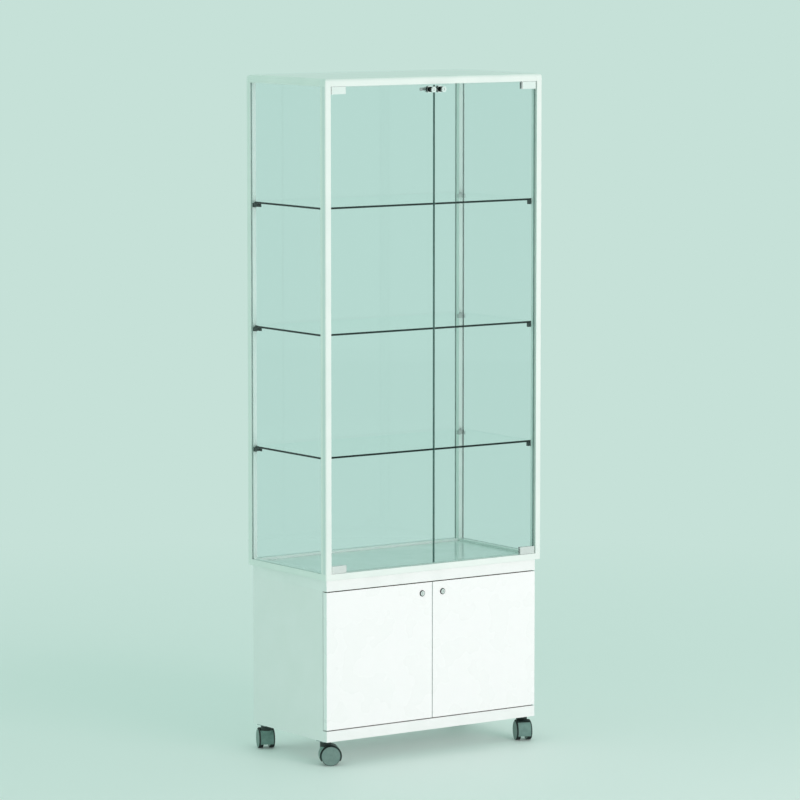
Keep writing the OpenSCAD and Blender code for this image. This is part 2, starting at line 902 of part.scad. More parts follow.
// The screws that hold the castor plates
module plate_screws(fit) {
  head_fit = fit > 0 ? counterbore_fit : 0;
  open_z = fit > 0 ? plate_z - cut : plate_z;
  for (side = SIDES, end = ENDS, dx = SIDES, dy = SIDES) {
    x = side * castor_x + dx * plate_screw_offset;
    y = castor_y(end) + dy * plate_screw_offset;
    rod_z(x, y, plate_head_r + head_fit, open_z, plate_z + plate_head_t);
    rod_z(x, y, plate_shank_r + fit, plate_z + plate_head_t, base_z + plate_thread + fit);
  }
}

module wood_screws() {
  color("silver") {
    frame_screws(0);
    plate_screws(0);
  }
}

// ---- Castors ----

function castor_y(end) = end < 0 ? base_front_y + castor_end_inset : base_rear_y - castor_end_inset;

function castor_heading(side, end) =
  end < 0 ? (side < 0 ? heading_front_left : heading_front_right)
          : (side < 0 ? heading_rear_left : heading_rear_right);

// Puts a castor's own frame, +X towards its axle, under the base
module at_castor(side, end) {
  translate([side * castor_x, castor_y(end), 0]) rotate([0, 0, castor_heading(side, end)])
    children();
}

// Turns a shape with its axis along Z so that it lies along a castor's axle
module on_axle() {
  translate([castor_trail, 0, wheel_r]) rotate([90, 0, 0]) children();
}

// The stems that the castors swivel on, pressed through their plates
module swivel_stems(fit, rise) {
  for (side = SIDES, end = ENDS)
    rod_z(side * castor_x, castor_y(end), stem_dia / 2 + fit, stem_base_z, base_z + rise);
}

module castor_stems() {
  color("silver") swivel_stems(0, 0);
}

module castor_plates() {
  half = plate_w / 2;
  color("silver") difference() {
    for (side = SIDES, end = ENDS) translate([side * castor_x, castor_y(end), 0])
      box([-half, -half, plate_z], [half, half, base_z]);
    swivel_stems(fixed_fit, cut);
    plate_screws(fixed_fit);
  }
}

// The hood: a drum with rounded edges, open where the wheels run, and its neck
module castor_hood(side, end) {
  outer = hood_r - hood_edge_r;
  color("slategray") at_castor(side, end) difference() {
    union() {
      on_axle() rotate_extrude() {
        translate([0, -hood_half]) square([outer, 2 * hood_half]);
        translate([0, -hood_half + hood_edge_r]) square([hood_r, 2 * (hood_half - hood_edge_r)]);
        for (way = SIDES) translate([outer, way * (hood_half - hood_edge_r)])
          circle(r = hood_edge_r);
      }
      rod_z(0, 0, neck_r, neck_base_z, neck_top_z);
    }
    for (turn = [0, 180]) on_axle() rotate([turn, 0, 0]) translate([0, 0, web_half])
      cylinder(r = wheel_r + hood_gap, h = hood_half);
    box([-2 * hood_r, -2 * hood_r, -hood_r], [2 * hood_r, 2 * hood_r, hood_low_z]);
    rod_z(0, 0, stem_dia / 2 + running_fit, stem_base_z - stem_end_gap, neck_top_z + cut);
    on_axle() cylinder(r = axle_dia / 2 + fixed_fit, h = 4 * web_half, center = true);
  }
}

module castor_axle(side, end) {
  half = wheel_half - cap_t - axle_end_gap;
  color("silver") at_castor(side, end) on_axle()
    cylinder(r = axle_dia / 2, h = 2 * half, center = true);
}

// One wheel, its bore open towards the web and closed by its cap
module castor_wheel() {
  rim_w = wheel_w - cap_t;
  rotate_extrude() difference() {
    union() {
      square([wheel_r - tyre_edge_r, rim_w]);
      translate([0, tyre_edge_r]) square([wheel_r, rim_w - 2 * tyre_edge_r]);
      for (y = [tyre_edge_r, rim_w - tyre_edge_r]) translate([wheel_r - tyre_edge_r, y])
        circle(r = tyre_edge_r);
      square([cap_r, wheel_w]);
    }
    translate([-cut, -cut]) square([axle_dia / 2 + running_fit + cut, rim_w + cut]);
    translate([cap_r, rim_w - cap_t]) square([cap_groove_w, wheel_w]);
  }
}

module castor_wheels(side, end) {
  color("dimgray") at_castor(side, end) on_axle()
    for (turn = [0, 180]) rotate([turn, 0, 0]) translate([0, 0, wheel_gap / 2]) castor_wheel();
}

// ---- Named pieces ----

module post_front_left() { post(-1, -1); }
module post_front_right() { post(1, -1); }
module post_rear_left() { post(-1, 1); }
module post_rear_right() { post(1, 1); }
module top_rail_front() { top_rail(180, half_d, 2 * rail_half_l); }
module top_rail_rear() { top_rail(0, half_d, 2 * rail_half_l); }
module top_rail_left() { top_rail(90, half_w, case_d - 2 * rail_d); }
module top_rail_right() { top_rail(-90, half_w, case_d - 2 * rail_d); }
module bottom_rail_front() { bottom_rail(180, half_d, 2 * rail_half_l); }
module bottom_rail_rear() { bottom_rail(0, half_d, 2 * rail_half_l); }
module bottom_rail_left() { bottom_rail(90, half_w, case_d - 2 * rail_d); }
module bottom_rail_right() { bottom_rail(-90, half_w, case_d - 2 * rail_d); }
module castor_hood_front_left() { castor_hood(-1, -1); }
module castor_hood_front_right() { castor_hood(1, -1); }
module castor_hood_rear_left() { castor_hood(-1, 1); }
module castor_hood_rear_right() { castor_hood(1, 1); }
module castor_axle_front_left() { castor_axle(-1, -1); }
module castor_axle_front_right() { castor_axle(1, -1); }
module castor_axle_rear_left() { castor_axle(-1, 1); }
module castor_axle_rear_right() { castor_axle(1, 1); }
module castor_wheels_front_left() { castor_wheels(-1, -1); }
module castor_wheels_front_right() { castor_wheels(1, -1); }
module castor_wheels_rear_left() { castor_wheels(-1, 1); }
module castor_wheels_rear_right() { castor_wheels(1, 1); }

post_front_left();
post_front_right();
post_rear_left();
post_rear_right();
top_rail_front();
top_rail_rear();
top_rail_left();
top_rail_right();
bottom_rail_front();
bottom_rail_rear();
bottom_rail_left();
bottom_rail_right();
corner_fittings();
post_cover_strips();
top_panel();
floor_panel();
side_glass_left();
side_glass_right();
back_glass();
shelf_upper();
shelf_middle();
shelf_lower();
shelf_brackets();
bracket_screws();
pivot_pins();
glass_door_left();
glass_door_right();
hinge_clamps_left();
hinge_clamps_right();
glass_lock_barrel_left();
glass_lock_barrel_right();
glass_lock_plug_left();
glass_lock_plug_right();
base_top();
base_bottom();
base_side_left();
base_side_right();
base_back();
base_door_left();
base_door_right();
base_lock_barrel_left();
base_lock_barrel_right();
base_lock_plug_left();
base_lock_plug_right();
strike_plates();
dowels();
wood_screws();
castor_plates();
castor_stems();
castor_hood_front_left();
castor_hood_front_right();
castor_hood_rear_left();
castor_hood_rear_right();
castor_axle_front_left();
castor_axle_front_right();
castor_axle_rear_left();
castor_axle_rear_right();
castor_wheels_front_left();
castor_wheels_front_right();
castor_wheels_rear_left();
castor_wheels_rear_right();
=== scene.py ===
"""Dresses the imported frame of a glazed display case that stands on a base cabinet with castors.

Lengths are in metres unless a name says mm. X runs to the right, Y to the rear and Z up.
"""

import json
import math

import bmesh
import bpy
from bpy.props import FloatProperty, FloatVectorProperty, PointerProperty
from mathutils import Matrix, Vector

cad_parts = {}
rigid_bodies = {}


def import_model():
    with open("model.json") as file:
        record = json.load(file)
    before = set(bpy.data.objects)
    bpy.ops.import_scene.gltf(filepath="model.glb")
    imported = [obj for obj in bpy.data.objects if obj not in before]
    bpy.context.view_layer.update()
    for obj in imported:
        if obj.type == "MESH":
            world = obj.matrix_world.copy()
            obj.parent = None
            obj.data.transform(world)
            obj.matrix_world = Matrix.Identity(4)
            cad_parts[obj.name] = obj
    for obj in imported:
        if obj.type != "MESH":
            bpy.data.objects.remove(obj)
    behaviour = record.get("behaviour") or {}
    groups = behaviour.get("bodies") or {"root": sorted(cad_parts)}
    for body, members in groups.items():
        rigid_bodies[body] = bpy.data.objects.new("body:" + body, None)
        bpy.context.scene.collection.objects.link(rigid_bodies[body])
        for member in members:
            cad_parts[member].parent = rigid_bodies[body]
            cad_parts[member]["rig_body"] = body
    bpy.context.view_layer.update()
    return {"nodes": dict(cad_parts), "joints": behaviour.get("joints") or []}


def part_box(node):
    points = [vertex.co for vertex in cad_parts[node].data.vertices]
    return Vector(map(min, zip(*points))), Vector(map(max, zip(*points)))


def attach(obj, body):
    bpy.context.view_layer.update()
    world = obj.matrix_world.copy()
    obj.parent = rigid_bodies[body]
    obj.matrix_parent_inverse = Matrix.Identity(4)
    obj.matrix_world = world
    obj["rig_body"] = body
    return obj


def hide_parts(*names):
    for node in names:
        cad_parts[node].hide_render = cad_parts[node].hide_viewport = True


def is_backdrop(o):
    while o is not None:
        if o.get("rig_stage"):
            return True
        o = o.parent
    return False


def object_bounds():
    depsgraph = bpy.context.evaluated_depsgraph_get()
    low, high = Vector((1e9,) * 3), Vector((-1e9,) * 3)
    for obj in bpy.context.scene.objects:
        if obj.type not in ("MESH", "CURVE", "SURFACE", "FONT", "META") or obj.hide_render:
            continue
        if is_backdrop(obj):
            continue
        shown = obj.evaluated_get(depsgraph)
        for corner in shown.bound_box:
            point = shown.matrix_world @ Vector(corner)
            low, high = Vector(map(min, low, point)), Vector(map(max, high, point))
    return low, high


bl_info = {
    "name": "Glazed Display Case",
    "version": (1, 0, 0),
    "blender": (4, 5, 0),
    "location": "3D View > Sidebar > Display Case",
    "description": "Builds the visible pieces of a glazed display case round its packed frame",
    "category": "Object",
}

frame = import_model()
MM = 0.001

# Where most of a noise pattern's values lie
NOISE_LOW, NOISE_HIGH = 0.3, 0.7
# The share of light that a pane's face reflects head on
HEAD_ON_GLOSS = 0.03
# Edges that turn by more than this get broken
SHARP = math.radians(30)
# The side from which the case is looked at, as a bearing: 0 from the front, less from the left
VIEW_BEARING = math.radians(-35.169)

ENDS = ("front", "rear")
SIDES = ("left", "right")
CORNERS = [f"{end}_{side}" for end in ENDS for side in SIDES]


# ---- Colour and material tools ----


def srgb(code):
    """A hex colour as the linear numbers, with an alpha of 1, that Blender's sockets take."""
    parts = [int(code[i : i + 2], 16) / 255 for i in (1, 3, 5)]
    linear = [c / 12.92 if c <= 0.04045 else ((c + 0.055) / 1.055) ** 2.4 for c in parts]
    return (*linear, 1.0)


def add(tree, kind, links=None, values=None, **settings):
    """Adds a node.

    settings are its properties, values its sockets' numbers and links its sockets' sources.
    """
    node = tree.nodes.new(kind)
    for name, value in settings.items():
        setattr(node, name, value)
    for name, value in (values or {}).items():
        node.inputs[name].default_value = value
    for name, source in (links or {}).items():
        tree.links.new(source, node.inputs[name])
    return node


def new_material(name):
    """An empty node material and its output node."""
    material = bpy.data.materials.new(name)
    material.use_nodes = True
    material.node_tree.nodes.clear()
    return material, add(material.node_tree, "ShaderNodeOutputMaterial")


def pattern(tree, size_mm, stretch=(1, 1, 1), detail=3.0):
    """A noise whose features have this size, drawn out along the axes by stretch."""
    place = add(tree, "ShaderNodeTexCoord").outputs["Object"]
    scale = [1 / (size_mm * MM * s) for s in stretch]
    fitted = add(tree, "ShaderNodeMapping", {"Vector": place}, {"Scale": scale}).outputs["Vector"]
    values = {"Scale": 1.0, "Detail": detail}
    return add(tree, "ShaderNodeTexNoise", {"Vector": fitted}, values).outputs["Fac"]


def solid_finish(name, colours, roughness, grain, height_mm, metallic=0.0,
                 rough_grain=(90, (1, 1, 1), 2.0), **sockets):
    """A coated, moulded or metal surface: two close tones, a little uneven gloss and a fine relief.

    colours are hex codes or picked colours. grain, of the relief, and rough_grain, of the tones
    and the gloss, are each (size in mm, stretch, detail). sockets are more numbers of the shader.
    """
    material, output = new_material(name)
    tree = material.node_tree
    fine = pattern(tree, *grain)
    broad = pattern(tree, *rough_grain)
    tones = add(tree, "ShaderNodeValToRGB", {"Fac": broad})
    for stop, place, colour in zip(tones.color_ramp.elements, (NOISE_LOW, NOISE_HIGH), colours):
        stop.position = place
        stop.color = srgb(colour) if isinstance(colour, str) else (*colour, 1)
    values = {"From Min": NOISE_LOW, "From Max": NOISE_HIGH,
              "To Min": roughness[0], "To Max": roughness[1]}
    gloss = add(tree, "ShaderNodeMapRange", {"Value": broad}, values)
    values = {"Strength": 1.0, "Distance": height_mm * MM}
    raised = add(tree, "ShaderNodeBump", {"Height": fine}, values)
    links = {
        "Base Color": tones.outputs["Color"],
        "Roughness": gloss.outputs["Result"],
        "Normal": raised.outputs["Normal"],
    }
    values = {key.replace("_", " "): value for key, value in sockets.items()}
    values["Metallic"] = metallic
    shader = add(tree, "ShaderNodeBsdfPrincipled", links, values)
    tree.links.new(shader.outputs["BSDF"], output.inputs["Surface"])
    return material


def glass_finish(name, tint):
    """Float glass seen through its faces: what is behind it, tinted, under a clean reflection.

    The reflection grows to all of the light at a grazing angle, by the fifth power.
    Only a face's outer side reflects, so that thin panes don't pass light to and fro inside.
    """
    material, output = new_material(name)
    tree = material.node_tree
    through = add(tree, "ShaderNodeBsdfTransparent", values={"Color": (*tint, 1)})
    sheen = add(tree, "ShaderNodeBsdfGlossy", values={"Roughness": 0.0, "Color": srgb("#FFFFFF")})
    facing = add(tree, "ShaderNodeLayerWeight", values={"Blend": 0.5}).outputs["Facing"]
    grazing = add(tree, "ShaderNodeMath", {0: facing}, {1: 5.0}, operation="POWER").outputs[0]
    values = {"From Min": 0.0, "From Max": 1.0, "To Min": HEAD_ON_GLOSS, "To Max": 1.0}
    share = add(tree, "ShaderNodeMapRange", {"Value": grazing}, values).outputs["Result"]
    inside = add(tree, "ShaderNodeNewGeometry").outputs["Backfacing"]
    outside = add(tree, "ShaderNodeMath", {1: inside}, {0: 1.0}, operation="SUBTRACT").outputs[0]
    share = add(tree, "ShaderNodeMath", {0: share, 1: outside}, operation="MULTIPLY").outputs[0]
    links = {"Fac": share, 1: through.outputs[0], 2: sheen.outputs[0]}
    mixed = add(tree, "ShaderNodeMixShader", links)
    tree.links.new(mixed.outputs[0], output.inputs["Surface"])
    return material


def clear_inside(material):
    """Lets an edge of glass be seen from outside alone, so that it doesn't show through."""
    tree = material.node_tree
    output = next(node for node in tree.nodes if node.type == "OUTPUT_MATERIAL")
    solid = output.inputs["Surface"].links[0].from_socket
    through = add(tree, "ShaderNodeBsdfTransparent", values={"Color": srgb("#F7FCFB")})
    inside = add(tree, "ShaderNodeNewGeometry").outputs["Backfacing"]
    mixed = add(tree, "ShaderNodeMixShader", {"Fac": inside, 1: solid, 2: through.outputs[0]})
    tree.links.new(mixed.outputs[0], output.inputs["Surface"])


MATERIALS = {}


def make_materials(colours):
    """All finishes of the case, by name.

    Drawn coarse means that the real grain, well under a millimetre, is too fine for a picture.
    """
    # Powder-coated aluminium: white, satin, with the faint orange peel of baked powder
    MATERIALS["frame_white"] = solid_finish(
        "powder_coated_aluminium", (colours.frame_darker, colours.frame_lighter), (0.34, 0.42),
        (4, (1, 1, 1), 2.0), 0.05, IOR=1.5)
    # Clear-anodised extrusion: cool grey with lines along its length, drawn coarse
    MATERIALS["strip_grey"] = solid_finish(
        "anodised_aluminium_extruded", ("#D6E2E0", "#E6F0EE"), (0.32, 0.45),
        (1.2, (1, 1, 120), 3.0), 0.03, metallic=0.5, rough_grain=(2, (1, 1, 150), 2.0))
    # Melamine-faced board: matt white with the fine pebble of its press plate, drawn coarse
    MATERIALS["board_white"] = solid_finish(
        "melamine_faced_board", (colours.board_darker, colours.board_lighter), (0.42, 0.52),
        (3, (1, 1, 1), 4.0), 0.06, IOR=1.5)
    # Lacquered board: smoother and brighter than the melamine, with a long soft waviness
    MATERIALS["door_white"] = solid_finish(
        "lacquered_board", (colours.door_darker, colours.door_lighter), (0.24, 0.32),
        (60, (1, 1, 1), 1.0), 0.02, IOR=1.5)
    # Sawn, unsealed fibreboard, brown and felt-like, its fibres drawn coarse, with painted shade:
    # darker, on the base doors' top and bottom edges, in the gaps above and below the doors
    MATERIALS["door_edge_painted_shade"] = solid_finish(
        "fibreboard_painted_shade", ("#6B5A4B", "#82705F"), (0.75, 0.9),
        (1.5, (1, 1, 1), 4.0), 0.08, IOR=1.45)
    # ABS edging, ironed on and scraped flush: a shade cooler than the faces, drawn coarse
    MATERIALS["edging"] = solid_finish(
        "abs_edging", ("#F0F4F2", "#F6F9F8"), (0.36, 0.46),
        (2, (1, 1, 1), 2.0), 0.03, IOR=1.5)
    # High-pressure laminate, polished: clear reflections; white, drawn pale grey-green as painted
    # shade inside the case
    MATERIALS["floor_laminate"] = solid_finish(
        "polished_laminate_painted_shade", (colours.laminate_darker, colours.laminate_lighter), (0.10, 0.16),
        (50, (1, 1, 1), 2.0), 0.03, IOR=1.5)
    # Float glass, 5 mm in the panes and 6 mm in the shelves: faint green through its faces
    MATERIALS["clear_glass"] = glass_finish("float_glass_pane", colours.pane_tint)
    MATERIALS["shelf_glass"] = glass_finish("float_glass_shelf", colours.shelf_tint)
    # The same glass seen along its length: polished edge, deep bottle green
    MATERIALS["glass_edge"] = solid_finish(
        "float_glass_polished_edge", ("#2F5651", "#3E6962"), (0.10, 0.18),
        (8, (1, 1, 1), 2.0), 0.01, rough_grain=(140, (1, 1, 1), 2.0), IOR=1.52)
    # A shelf's edge, dead straight towards the eye: painted shade, nearly black where the same
    # glass's edge is bottle green, and not seen through the shelf
    MATERIALS["shelf_edge_painted_shade"] = solid_finish(
        "float_glass_edge_painted_shade", ("#031312", "#061C1A"), (0.12, 0.2),
        (8, (1, 1, 1), 2.0), 0.01, rough_grain=(140, (1, 1, 1), 2.0), IOR=1.52,
        Specular_IOR_Level=0.2)
    clear_inside(MATERIALS["shelf_edge_painted_shade"])
    # The arris, stoned at 45 degrees: a fine pale line that scatters light, drawn coarse
    MATERIALS["glass_arris"] = solid_finish(
        "float_glass_ground_arris", ("#9CC4BA", "#B8D8D0"), (0.30, 0.42),
        (1, (1, 1, 1), 3.0), 0.02, IOR=1.52)
    # Die-cast zinc, black stoved: deep satin black with a cast grain, drawn coarse
    MATERIALS["bracket_black"] = solid_finish(
        "die_cast_zinc_black", ("#1D2B29", "#263634"), (0.38, 0.5),
        (1.5, (1, 1, 1), 3.0), 0.04, IOR=1.5)
    # Steel screw, turned and blackened: dark with a soft shine, its tool marks drawn coarse
    MATERIALS["bracket_screw"] = solid_finish(
        "steel_blackened_turned", ("#2C3D3A", "#3E504C"), (0.3, 0.4),
        (1, (1, 1, 1), 3.0), 0.02, metallic=0.5)
    # Zinc casting, chrome plated: bright, with a trace of polishing waviness
    MATERIALS["clamp_chrome"] = solid_finish(
        "chrome_plated_zinc_satin", ("#F2ECED", "#FAF5F6"), (0.18, 0.26),
        (9, (3, 1, 1), 2.0), 0.04, metallic=0.75)
    # The same plating, polished: brighter, with clear reflections
    MATERIALS["lock_chrome"] = solid_finish(
        "chrome_plated_zinc_polished", ("#F6F1F2", "#FCF8F9"), (0.10, 0.16),
        (5, (1, 1, 1), 2.0), 0.02, metallic=0.9)
    # Nickel-plated brass, lapped: a shade softer than the barrel, drawn coarse
    MATERIALS["lock_steel"] = solid_finish(
        "nickel_plated_brass", ("#E6EAE9", "#F2F5F4"), (0.22, 0.34),
        (1.2, (1, 1, 1), 3.0), 0.03, metallic=0.6)
    # Painted shade and dark reflection, nearly black with a soft shine: on the barrels' turned
    # sides, the base locks' rims and the key slots; the tool marks drawn coarse
    MATERIALS["lock_painted_shade"] = solid_finish(
        "zinc_painted_shade", ("#0F1615", "#1D2725"), (0.28, 0.38),
        (0.8, (1, 1, 1), 3.0), 0.03, metallic=0.8)
    # Zinc-plated steel: blue-grey with the mottle of the plating bath
    MATERIALS["zinc_steel"] = solid_finish(
        "zinc_plated_steel", ("#96A3A4", "#B3BEBE"), (0.28, 0.42),
        (3, (1, 1, 1), 3.0), 0.03, metallic=1.0, rough_grain=(12, (1, 1, 1), 3.0))
    # Fluted beech: pale brown with its grain along the dowel, drawn coarse
    MATERIALS["dowel_wood"] = solid_finish(
        "beech_turned", ("#B98F63", "#D3AE82"), (0.55, 0.7),
        (1.2, (1, 1, 14), 4.0), 0.08, IOR=1.45, rough_grain=(2.5, (1, 1, 20), 3.0))
    # Glass-filled nylon, moulded: dark grey-green, its spark-eroded grain drawn coarse
    MATERIALS["castor_hood"] = solid_finish(
        "nylon_moulded", (colours.hood_darker, colours.hood_lighter), (0.34, 0.46),
        (1.6, (1, 1, 1), 3.0), 0.06, IOR=1.53, rough_grain=(14, (1, 1, 1), 3.0))
    # Painted shade on the hoods, nearly black, with the same grain: at both ends of the axle and on
    # top
    MATERIALS["hood_painted_shade"] = solid_finish(
        "nylon_painted_shade", ("#16211F", "#22302D"), (0.4, 0.52),
        (1.6, (1, 1, 1), 3.0), 0.06, IOR=1.53)
    # The wheels' discs, of the same nylon: a shade paler, with the same grain
    MATERIALS["castor_wheel"] = solid_finish(
        "nylon_moulded_disc", (colours.disc_darker, colours.disc_lighter), (0.36, 0.48),
        (1.6, (1, 1, 1), 3.0), 0.05, IOR=1.53, rough_grain=(12, (1, 1, 1), 3.0))
    # Thermoplastic rubber, moulded: dull dark tread, its grain drawn coarse
    MATERIALS["tyre_rubber"] = solid_finish(
        "rubber_moulded_tyre", ("#121B1A", "#1E2927"), (0.6, 0.78),
        (1.4, (1, 1, 1), 4.0), 0.08, IOR=1.5, rough_grain=(7, (1, 1, 1), 4.0))
    # Soft PVC, moulded: milky, dull, its grain drawn coarse
    MATERIALS["buffer_pvc"] = solid_finish(
        "pvc_moulded_buffer", ("#BFCECA", "#CBD8D4"), (0.5, 0.6),
        (1, (1, 1, 1), 2.0), 0.02, IOR=1.5)


# ---- Mesh tools ----


def finish_object(name, mesh, materials, body, nodes=(), smooth=True):
    """Turns a mesh into a piece that rides on a body and stands for CAD nodes."""
    data = bpy.data.meshes.new(name)
    mesh.to_mesh(data)
    mesh.free()
    for polygon in data.polygons:
        polygon.use_smooth = smooth
    piece = bpy.data.objects.new(name, data)
    bpy.context.scene.collection.objects.link(piece)
    for material in materials:
        data.materials.append(MATERIALS[material])
    if nodes:
        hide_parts(*nodes)
    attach(piece, body)
    return piece


def body_of(node):
    """The CAD body that a node moves with."""
    return frame["nodes"][node]["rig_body"]


def joined_copy(node):
    """A CAD node's mesh with its triangles joined up at their corners."""
    mesh = bmesh.new()
    mesh.from_mesh(frame["nodes"][node].data)
    bmesh.ops.remove_doubles(mesh, verts=mesh.verts, dist=2e-6)
    return mesh


def cleaned_copy(node):
    """A CAD node's shape with its flat faces whole again, ready for bevels."""
    mesh = joined_copy(node)
    bmesh.ops.dissolve_limit(
        mesh, angle_limit=math.radians(0.4), verts=mesh.verts, edges=mesh.edges,
        use_dissolve_boundaries=False)
    mesh.normal_update()
    return mesh


def add_bevel(piece, width, segments, material=-1, weighted=False):
    """Breaks the piece's sharp edges, or those with a weight.

    Its flat faces stay flat to the eye. -1 gives the bevels the finish of the faces beside them.
    """
    bevel = piece.modifiers.new("broken_edges", "BEVEL")
    bevel.width = width
    bevel.segments = segments
    bevel.limit_method = "WEIGHT" if weighted else "ANGLE"
    bevel.angle_limit = SHARP
    bevel.use_clamp_overlap = True
    bevel.material = material
    if piece.data.polygons[0].use_smooth:
        piece.modifiers.new("shading", "WEIGHTED_NORMAL")


def edged_node(node, suffix, width, material, edge=None, chosen=None, arris=None, segments=2,
               flat=False, cuts=(), rim=None):
    """The CAD node with its edges broken.

    edge is the finish of the chosen faces, or else of those on its thin sides, and arris that of
    the broken edges. cuts are planes, each a (point, normal), along which its faces are split
    first. Where rim is given, only the edges are broken whose two ends it names.
    """
    mesh = cleaned_copy(node)
    for point, normal in cuts:
        everything = mesh.verts[:] + mesh.edges[:] + mesh.faces[:]
        bmesh.ops.bisect_plane(mesh, geom=everything, plane_co=point, plane_no=normal)
    materials = [material] + ([edge] if edge else [])
    if edge:
        low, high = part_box(node)
        size = high - low
        thin = min(range(3), key=lambda axis: size[axis])
        for face in mesh.faces:
            own = chosen(face) if chosen else abs(face.normal[thin]) <= 0.9
            face.material_index = 1 if own else 0
    if rim:
        weight = mesh.edges.layers.float.new("bevel_weight_edge")
        for line in mesh.edges:
            line[weight] = float(all(rim(vertex.co) for vertex in line.verts))
    if arris and arris not in materials:
        materials.append(arris)
    piece = finish_object(
        f"{node}_{suffix}", mesh, materials, body_of(node), nodes=[node], smooth=not flat)
    add_bevel(piece, width, segments, materials.index(arris) if arris else -1, bool(rim))


def paint_node(node, material):
    """A CAD node keeps its shape and gets its finish."""
    data = frame["nodes"][node].data
    data.materials.clear()
    data.materials.append(MATERIALS[material])


def add_lathe(mesh, profile, place, steps, closed=False):
    """Turns a profile of (radius, height) points round the local Z axis of place.

    A radius may be a function of the angle. A closed profile's last ring joins its first.
    """
    rings = []
    for radius, height in profile:
        if radius == 0:
            rings.append([mesh.verts.new(place @ Vector((0, 0, height)))])
            continue
        ring = []
        for angle in (2 * math.pi * k / steps for k in range(steps)):
            reach = radius(angle) if callable(radius) else radius
            point = Vector((reach * math.cos(angle), reach * math.sin(angle), height))
            ring.append(mesh.verts.new(place @ point))
        rings.append(ring)
    pairs = list(zip(rings, rings[1:])) + ([(rings[-1], rings[0])] if closed else [])
    for first, second in pairs:
        for k in range(steps):
            j = (k + 1) % steps
            corners = [
                first[k % len(first)], first[j % len(first)],
                second[j % len(second)], second[k % len(second)]]
            unique = list(dict.fromkeys(corners))
            if len(unique) > 2:
                mesh.faces.new(unique)


def along(point, direction):
    """A frame whose Z axis runs along the direction from the point."""
    z = Vector(direction).normalized()
    return Matrix.Translation(Vector(point)) @ z.to_track_quat("Z", "Y").to_matrix().to_4x4()


def joint(name):
    """The record's joint of this name."""
    return next(j for j in frame["joints"] if j["name"] == name)


def islands(node):
    """The boxes of a CAD node's separate solids, as (low, high) corners."""
    mesh = joined_copy(node)
    waiting, boxes = set(mesh.verts), []
    while waiting:
        front = [waiting.pop()]
        found = list(front)
        while front:
            here = front.pop()
            near = [edge.other_vert(here) for edge in here.link_edges]
            fresh = [v for v in near if v in waiting]
            waiting.difference_update(fresh)
            front += fresh
            found += fresh
        low, high = (
            Vector([pick(v.co[i] for v in found) for i in range(3)]) for pick in (min, max))
        boxes.append((low, high))
    mesh.free()
    return sorted(boxes, key=lambda pair: tuple(round(c, 4) for c in pair[0]))


def hexagon(radius):
    """The radius of a hexagon, by angle, whose flats are this far from its middle."""
    half = math.pi / 6
    return lambda angle: radius / math.cos((angle + half) % (2 * half) - half)


def add_screw_head(mesh, place, radius, height, socket, shank=0.0, shank_radius=0.0):
    """A turned screw head with a rounded rim and a hexagon socket.

    Its seat is at local height 0, and its shank, if any, goes down from there.
    """
    rim = min(0.35 * height, 0.2 * radius)
    profile = [(0, -shank), (shank_radius, -shank), (shank_radius, 0)] if shank else [(0, 0)]
    profile += [(radius, 0), (radius, height - rim)]
    profile += [
        (radius - rim + rim * math.cos(a), height - rim + rim * math.sin(a))
        for a in (math.pi / 8, math.pi / 4, 3 * math.pi / 8, math.pi / 2)]
    profile += [(hexagon(socket * 1.12), height), (hexagon(socket), height - 0.08 * height),
                (hexagon(socket), height * 0.35), (0, height * 0.25)]
    add_lathe(mesh, profile, place, 36)


# ---- What a user may change ----


def picked_colour(name, description, code):
    """A colour property whose default is this hex colour."""
    return FloatVectorProperty(
        name=name, description=description, default=srgb(code)[:3], subtype="COLOR", min=0, max=1)


class CaseSizes(bpy.types.PropertyGroup):
    """The small sizes that the CAD frame leaves to the dressing."""

    profile_edge: FloatProperty(
        name="Profile edge", description="Radius of the broken edges of the aluminium profiles",
        default=0.6 * MM, min=0.1 * MM, max=2 * MM, unit="LENGTH")
    board_edge: FloatProperty(
        name="Board edge", description="Radius of the edges of the boards and base doors",
        default=0.9 * MM, min=0.2 * MM, max=3 * MM, unit="LENGTH")
    glass_arris: FloatProperty(
        name="Glass arris", description="Width of the ground arris on all glass",
        default=0.6 * MM, min=0.1 * MM, max=1.5 * MM, unit="LENGTH")
    metal_edge: FloatProperty(
        name="Fitting edge", description="Radius of the edges of brackets, plates and hoods",
        default=0.4 * MM, min=0.1 * MM, max=1 * MM, unit="LENGTH")
    clamp_round: FloatProperty(
        name="Clamp rounding", description="Radius of the rounded edges of the hinge clamps",
        default=1.8 * MM, min=0.3 * MM, max=2.2 * MM, unit="LENGTH")
    lock_round: FloatProperty(
        name="Lock rounding", description="Radius of the rounded rims of the locks' front rings",
        default=2.3 * MM, min=0.3 * MM, max=2.4 * MM, unit="LENGTH")
    buffer_width: FloatProperty(
        name="Buffer width", description="Diameter of the soft buffers behind the base doors",
        default=9 * MM, min=5 * MM, max=14 * MM, unit="LENGTH")
    # The width of the band of painted shade round the castors' hoods
    hood_painted_shade: FloatProperty(
        name="Hood lip", description="Width of the dark lip round the castors' hoods",
        default=3 * MM, min=0.5 * MM, max=6 * MM, unit="LENGTH")
    tyre_crown: FloatProperty(
        name="Tyre crown", description="How far the castors' treads fall off to their sides",
        default=0.4 * MM, min=0.0, max=1 * MM, unit="LENGTH")


